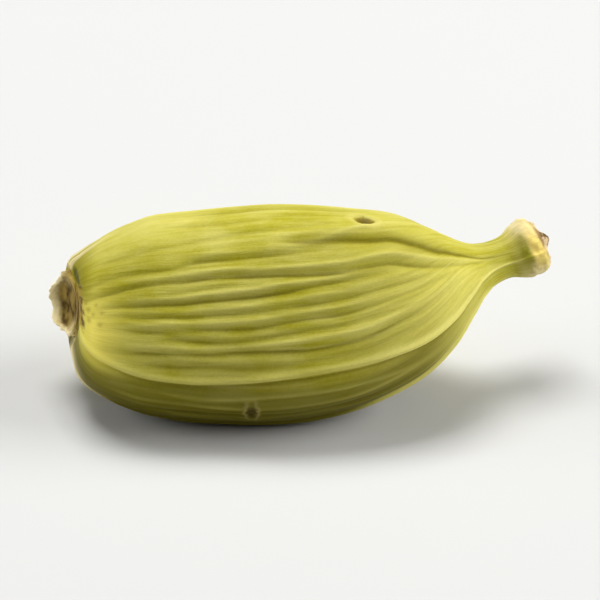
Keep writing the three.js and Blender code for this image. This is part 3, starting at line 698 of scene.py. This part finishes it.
# ---------------------------------------------------------------- materials
class Nodes:
    """Short hand for building a node tree."""

    def __init__(self, name):
        self.mat = bpy.data.materials.new(name)
        self.mat.use_nodes = True
        self.t = self.mat.node_tree
        self.t.nodes.clear()
        self.out = self.t.nodes.new("ShaderNodeOutputMaterial")
        self.bsdf = self.t.nodes.new("ShaderNodeBsdfPrincipled")
        self.t.links.new(self.bsdf.outputs[0], self.out.inputs[0])

    def attr(self, name, vector=False):
        n = self.t.nodes.new("ShaderNodeAttribute")
        n.attribute_name = name
        return n.outputs["Vector" if vector else "Fac"]

    def put(self, socket, value):
        if isinstance(value, bpy.types.NodeSocket):
            self.t.links.new(value, socket)
        else:
            socket.default_value = value

    def mix(self, fac, a, b, mode="MIX"):
        n = self.t.nodes.new("ShaderNodeMix")
        n.data_type = "RGBA"
        n.blend_type = mode
        self.put(n.inputs[0], fac)
        for sock, v in ((n.inputs[6], a), (n.inputs[7], b)):
            self.put(sock, v if isinstance(v, bpy.types.NodeSocket) else (*v, 1))
        return n.outputs[2]

    def math(self, op, a, b=0.0, clamp=False):
        n = self.t.nodes.new("ShaderNodeMath")
        n.operation = op
        n.use_clamp = clamp
        self.put(n.inputs[0], a)
        self.put(n.inputs[1], b)
        return n.outputs[0]

    def ramp(self, value, lo, hi, out_lo=0.0, out_hi=1.0):
        n = self.t.nodes.new("ShaderNodeMapRange")
        n.interpolation_type = "SMOOTHSTEP"
        self.put(n.inputs["Value"], value)
        for k, v in (("From Min", lo), ("From Max", hi), ("To Min", out_lo), ("To Max", out_hi)):
            n.inputs[k].default_value = v
        return n.outputs[0]

    def scaled(self, vec, scale):
        n = self.t.nodes.new("ShaderNodeMapping")
        self.put(n.inputs["Vector"], vec)
        n.inputs["Scale"].default_value = scale
        return n.outputs[0]

    def part(self, vec, k):
        n = self.t.nodes.new("ShaderNodeSeparateXYZ")
        self.put(n.inputs[0], vec)
        return n.outputs[k]

    def length(self, vec):
        n = self.t.nodes.new("ShaderNodeVectorMath")
        n.operation = "LENGTH"
        self.put(n.inputs[0], vec)
        return n.outputs["Value"]

    def noise(self, vec, scale=1.0, detail=2.0, rough=0.5):
        n = self.t.nodes.new("ShaderNodeTexNoise")
        self.put(n.inputs["Vector"], vec)
        n.inputs["Scale"].default_value = scale
        n.inputs["Detail"].default_value = detail
        n.inputs["Roughness"].default_value = rough
        return n.outputs["Fac"]

    def bump(self, height, strength, distance, after=None):
        n = self.t.nodes.new("ShaderNodeBump")
        n.inputs["Strength"].default_value = strength
        n.inputs["Distance"].default_value = distance
        self.put(n.inputs["Height"], height)
        if after is not None:
            self.put(n.inputs["Normal"], after)
        return n.outputs[0]


OLIVE = (0.220, 0.190, 0.002)
GREEN = (0.390, 0.355, 0.005)
LIGHT = (0.528, 0.484, 0.088)
PALE = (0.720, 0.660, 0.195)
STRAW = (0.880, 0.755, 0.135)
CREAM = (0.760, 0.650, 0.330)
BROWN = (0.115, 0.062, 0.018)
DARK = (0.098, 0.078, 0.001)


def skin(m, fib):
    """The skin's colour: greens that run along the pod, darker in the grooves (their own olive with painted shade over
    it) and paler on what stands up.
    """
    streaks = m.noise(m.scaled(fib, (0.40, 4.5, 4.5)), 1.0, 3.0, 0.55)
    fine = m.noise(m.scaled(fib, (1.4, 20.0, 20.0)), 1.0, 2.0, 0.6)
    blotch = m.noise(m.scaled(fib, (0.5, 0.7, 0.7)), 1.0, 3.0, 0.55)
    grain = m.noise(m.scaled(fib, (9.0, 14.0, 14.0)), 1.0, 3.0, 0.6)
    groove = m.attr("groove")
    col = m.mix(m.ramp(blotch, 0.36, 0.66), GREEN, LIGHT)
    # paler towards the stalk: partly the skin's own colour, partly painted light on the narrowing front, held back on
    # top
    col = m.mix(m.math("MULTIPLY", m.attr("neck"), 0.75), col, (0.665, 0.603, 0.125))
    col = m.mix(m.math("MULTIPLY", m.ramp(streaks, 0.42, 0.68), 0.30), col, OLIVE)
    col = m.mix(m.math("MULTIPLY", m.ramp(streaks, 0.58, 0.36), 0.30), col, LIGHT)
    col = m.mix(m.math("MULTIPLY", m.ramp(fine, 0.45, 0.72), 0.12), col, PALE)
    # grooves: their own olive, then painted shade
    col = m.mix(m.math("MULTIPLY", groove, 0.72, True), col, OLIVE)
    col = m.mix(m.math("MULTIPLY", m.ramp(groove, 0.4, 1.6), 0.75), col, DARK)
    col = m.mix(m.math("MULTIPLY", m.attr("fibre"), 0.50), col, PALE)
    col = m.mix(m.math("MULTIPLY", m.attr("vein"), 0.60), col, PALE)
    col = m.mix(0.07, col, m.mix(m.ramp(grain, 0.35, 0.65), OLIVE, PALE))
    return col, streaks, fine, grain


def husk_material():
    m = Nodes("husk_skin")
    fib = m.attr("fib", True)
    col, streaks, fine, grain = skin(m, fib)
    col = m.mix(m.math("MULTIPLY", m.attr("yellow"), 0.95), col, STRAW)
    # painted shade on the lower strips, where the pod turns down away from the lamps; the veins stay clear of it
    col = m.mix(m.math("MULTIPLY", m.attr("painted_underside_shade"), m.ramp(m.attr("vein"), 0.0, 1.0, 0.90, 0.06)), col, (0.098, 0.082, 0.002))
    # painted light on the top left
    col = m.mix(m.math("MULTIPLY", m.attr("painted_light_top_left"), 0.45), col, PALE)
    # painted shade patches
    col = m.mix(m.math("MULTIPLY", m.attr("painted_shade_patches"), 0.80), col, OLIVE)
    col = m.mix(m.math("MULTIPLY", m.attr("dimple"), 0.42), col, (0.230, 0.140, 0.020))
    # at the blunt end the struts go cream; the creases get painted shade, brown where the dried tissue shows; the torn
    # edge is dark
    blunt = m.attr("blunt")
    near = m.attr("nearvein")
    col = m.mix(m.math("MULTIPLY", m.math("MULTIPLY", blunt, m.ramp(near, 0.72, 0.98)), 0.85), col, CREAM)
    col = m.mix(m.math("MULTIPLY", m.attr("prop"), 0.85), col, CREAM)
    pucker = m.attr("pucker")
    # painted shade in the crease
    col = m.mix(m.math("MULTIPLY", m.ramp(pucker, 0.15, 0.6), 0.85), col, (0.085, 0.080, 0.010))
    col = m.mix(m.math("MULTIPLY", m.math("MULTIPLY", m.ramp(pucker, 0.3, 0.9), m.attr("brown")), 0.9), col, BROWN)
    patch = m.noise(m.scaled(fib, (2.6, 1.5, 1.5)), 1.0, 3.0, 0.65)
    col = m.mix(m.ramp(m.math("ADD", m.attr("stain"), patch), 0.98, 1.38), col, m.mix(m.ramp(patch, 0.42, 0.62), (0.380, 0.250, 0.030), (0.130, 0.078, 0.010)))
    # specks and scars
    speck = m.noise(m.scaled(fib, (2.6, 2.6, 2.6)), 1.0, 1.0, 0.4)
    col = m.mix(m.math("MULTIPLY", m.ramp(speck, 0.80, 0.86), 0.25), col, BROWN)
    rough = m.math("MULTIPLY", m.math("SUBTRACT", m.noise(m.scaled(fib, (5.0, 5.0, 5.0)), 1.0, 2.0, 0.6), 0.5), 0.9)
    q = m.math("ADD", m.length(m.attr("mark_top", True)), rough)
    col = m.mix(m.math("MULTIPLY", m.ramp(q, 2.3, 1.35), 0.20), col, (0.80, 0.70, 0.26))
    col = m.mix(m.math("MULTIPLY", m.ramp(q, 1.30, 0.75), 0.92), col, (0.175, 0.124, 0.008))
    col = m.mix(m.math("MULTIPLY", m.ramp(q, 0.85, 0.30), 0.6), col, (0.075, 0.050, 0.004))
    low = m.attr("mark_low", True)
    q = m.math("ADD", m.length(low), m.math("MULTIPLY", rough, 1.1))
    sides = m.ramp(m.math("ABSOLUTE", m.part(low, 0)), 0.15, 0.75)
    arcs = m.math("MULTIPLY", m.math("MULTIPLY", m.ramp(q, 1.35, 0.95), m.ramp(q, 0.55, 0.90)), sides)
    col = m.mix(m.math("MULTIPLY", arcs, 0.56), col, (0.360, 0.295, 0.105))
    col = m.mix(m.math("MULTIPLY", m.ramp(q, 0.95, 0.40), 0.78), col, (0.062, 0.040, 0.006))
    m.put(m.bsdf.inputs["Base Color"], col)
    m.put(m.bsdf.inputs["Roughness"], m.ramp(streaks, 0.3, 0.7, 0.46, 0.62))
    m.bsdf.inputs["Specular IOR Level"].default_value = 0.08
    b = m.bump(streaks, 0.45, 0.00005)
    b = m.bump(fine, 0.35, 0.00002, b)
    b = m.bump(grain, 0.25, 0.00002, b)
    m.put(m.bsdf.inputs["Normal"], b)
    return m.mat


def stalk_material():
    m = Nodes("stalk_stub")
    fib = m.attr("fib", True)
    geo = m.t.nodes.new("ShaderNodeTexCoord").outputs["Object"]
    blotch = m.noise(geo, 900.0, 3.0, 0.6)
    spots = m.noise(geo, 2600.0, 2.0, 0.6)
    knob = m.attr("knob")
    neck, streaks, fine, grain = skin(m, fib)
    cream = m.mix(m.ramp(blotch, 0.35, 0.62), (0.72, 0.61, 0.32), (0.62, 0.51, 0.16))
    cream = m.mix(m.math("MULTIPLY", m.ramp(spots, 0.58, 0.74), 0.45), cream, (0.42, 0.28, 0.10))
    col = m.mix(knob, neck, cream)
    col = m.mix(m.math("MULTIPLY", m.attr("wedge"), 0.95), col, (0.285, 0.268, 0.014))
    col = m.mix(m.math("MULTIPLY", m.attr("gold"), 0.90), col, (0.90, 0.69, 0.17))
    # painted shade and brown specks on the knob's right side
    col = m.mix(m.math("MULTIPLY", m.attr("specks_and_painted_shade"), m.ramp(spots, 0.34, 0.54, 0.40, 1.0)), col, (0.27, 0.17, 0.07))
    face = m.mix(m.ramp(spots, 0.44, 0.60), (0.70, 0.52, 0.30), BROWN)
    col = m.mix(m.math("MULTIPLY", m.attr("face"), m.ramp(blotch, 0.30, 0.60, 0.25, 0.9)), col, face)
    col = m.mix(m.math("MULTIPLY", m.attr("pit"), 0.85), col, (0.075, 0.040, 0.014))
    m.put(m.bsdf.inputs["Base Color"], col)
    m.put(m.bsdf.inputs["Roughness"], m.math("ADD", m.ramp(streaks, 0.3, 0.7, 0.46, 0.62), m.math("MULTIPLY", knob, 0.14)))
    m.bsdf.inputs["Specular IOR Level"].default_value = 0.08
    b = m.bump(streaks, 0.45, 0.00005)
    b = m.bump(fine, 0.35, 0.00002, b)
    b = m.bump(grain, 0.25, 0.00002, b)
    b = m.bump(m.math("MULTIPLY", spots, knob), 0.5, 0.00004, b)
    m.put(m.bsdf.inputs["Normal"], b)
    return m.mat


def flower_material():
    m = Nodes("dry_flower")
    geo = m.t.nodes.new("ShaderNodeTexCoord").outputs["Object"]
    blotch = m.noise(geo, 1200.0, 3.0, 0.6)
    fine = m.noise(geo, 5200.0, 3.0, 0.6)
    col = m.mix(m.ramp(blotch, 0.36, 0.64), (0.60, 0.45, 0.18), (0.76, 0.64, 0.34))
    col = m.mix(m.math("MULTIPLY", m.attr("rim"), 0.90), col, (0.94, 0.82, 0.47))
    col = m.mix(m.math("MULTIPLY", m.ramp(fine, 0.56, 0.76), 0.40), col, (0.30, 0.17, 0.07))
    col = m.mix(m.math("MULTIPLY", m.attr("strut"), 0.5), col, CREAM)
    col = m.mix(m.math("MULTIPLY", m.attr("near"), 0.9), col, m.mix(m.ramp(blotch, 0.4, 0.6), (0.36, 0.25, 0.045), (0.17, 0.10, 0.016)))
    col = m.mix(m.attr("hollow"), col, m.mix(m.ramp(blotch, 0.4, 0.62), (0.070, 0.040, 0.006), (0.30, 0.205, 0.045)))
    m.put(m.bsdf.inputs["Base Color"], col)
    m.put(m.bsdf.inputs["Roughness"], m.ramp(fine, 0.3, 0.7, 0.7, 0.9))
    m.bsdf.inputs["Specular IOR Level"].default_value = 0.12
    b = m.bump(blotch, 0.5, 0.00006)
    b = m.bump(fine, 0.6, 0.00003, b)
    m.put(m.bsdf.inputs["Normal"], b)
    return m.mat


for ob, mat, node, slot in (
    (husk, husk_material(), "husk", "husk_skin"),
    (stub, stalk_material(), "stalk_stub", "stalk"),
    (flower, flower_material(), "flower_remnant", "dry_flower"),
):
    ob.data.materials.append(mat)
    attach(ob, "root")
    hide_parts(node)

# ---------------------------------------------------------------- floor, light, camera
mesh = bpy.data.meshes.new("floor")
e = 1.5
mesh.from_pydata([(-e, -e, 0), (e, -e, 0), (e, e, 0), (-e, e, 0)], [], [(0, 1, 2, 3)])
floor = bpy.data.objects.new("floor", mesh)
bpy.context.scene.collection.objects.link(floor)
fm = bpy.data.materials.new("floor")
fm.use_nodes = True
fb = fm.node_tree.nodes["Principled BSDF"]
fb.inputs["Base Color"].default_value = (0.58, 0.58, 0.57, 1)
fb.inputs["Roughness"].default_value = 0.85
fb.inputs["Specular IOR Level"].default_value = 0.2
mesh.materials.append(fm)


def area(name, where, target, size, power, color=(1, 1, 1)):
    data = bpy.data.lights.new(name, "AREA")
    data.shape = "RECTANGLE"
    data.size, data.size_y = size
    data.energy = power
    data.color = color
    ob = bpy.data.objects.new(name, data)
    ob.location = where
    ob.rotation_euler = (Vector(target) - Vector(where)).to_track_quat("-Z", "Y").to_euler()
    bpy.context.scene.collection.objects.link(ob)
    return ob


area("top_softbox", (-0.045, 0.098, 0.30), (0, 0, 0), (0.18, 0.16), 1.01)
area("left_softbox", (-0.26, 0.0, 0.13), (0, 0, 0.004), (0.20, 0.16), 0.36)
area("right_softbox", (0.26, 0.0, 0.13), (0, 0, 0.004), (0.20, 0.16), 0.92)

world = bpy.data.worlds.new("studio")
bpy.context.scene.world = world
world.use_nodes = True
bg = world.node_tree.nodes["Background"]
bg.inputs[0].default_value = (1, 1, 1, 1)
bg.inputs[1].default_value = 0.08

scene = bpy.context.scene
scene.view_settings.view_transform = "Standard"
scene.view_settings.look = "None"
scene.view_settings.exposure = 0.0
scene.view_settings.gamma = 1.0

ELEVATION, AZIMUTH = math.radians(30), 0.0
FRAME_WIDTH = 0.0224
LENS = 250.0
cam = bpy.data.cameras.new("camera")
cam.sensor_width = 36
cam.lens = LENS
distance = FRAME_WIDTH * LENS / 36
cam.clip_start, cam.clip_end = 0.005, 10
camera = bpy.data.objects.new("camera", cam)
look = Vector((0.0, 0.0, 0.004035))
back = Vector((math.sin(AZIMUTH) * math.cos(ELEVATION), -math.cos(AZIMUTH) * math.cos(ELEVATION), math.sin(ELEVATION)))
camera.location = look + back * distance
camera.rotation_euler = (-back).to_track_quat("-Z", "Y").to_euler()
scene.collection.objects.link(camera)
scene.camera = camera

bpy.context.view_layer.update()
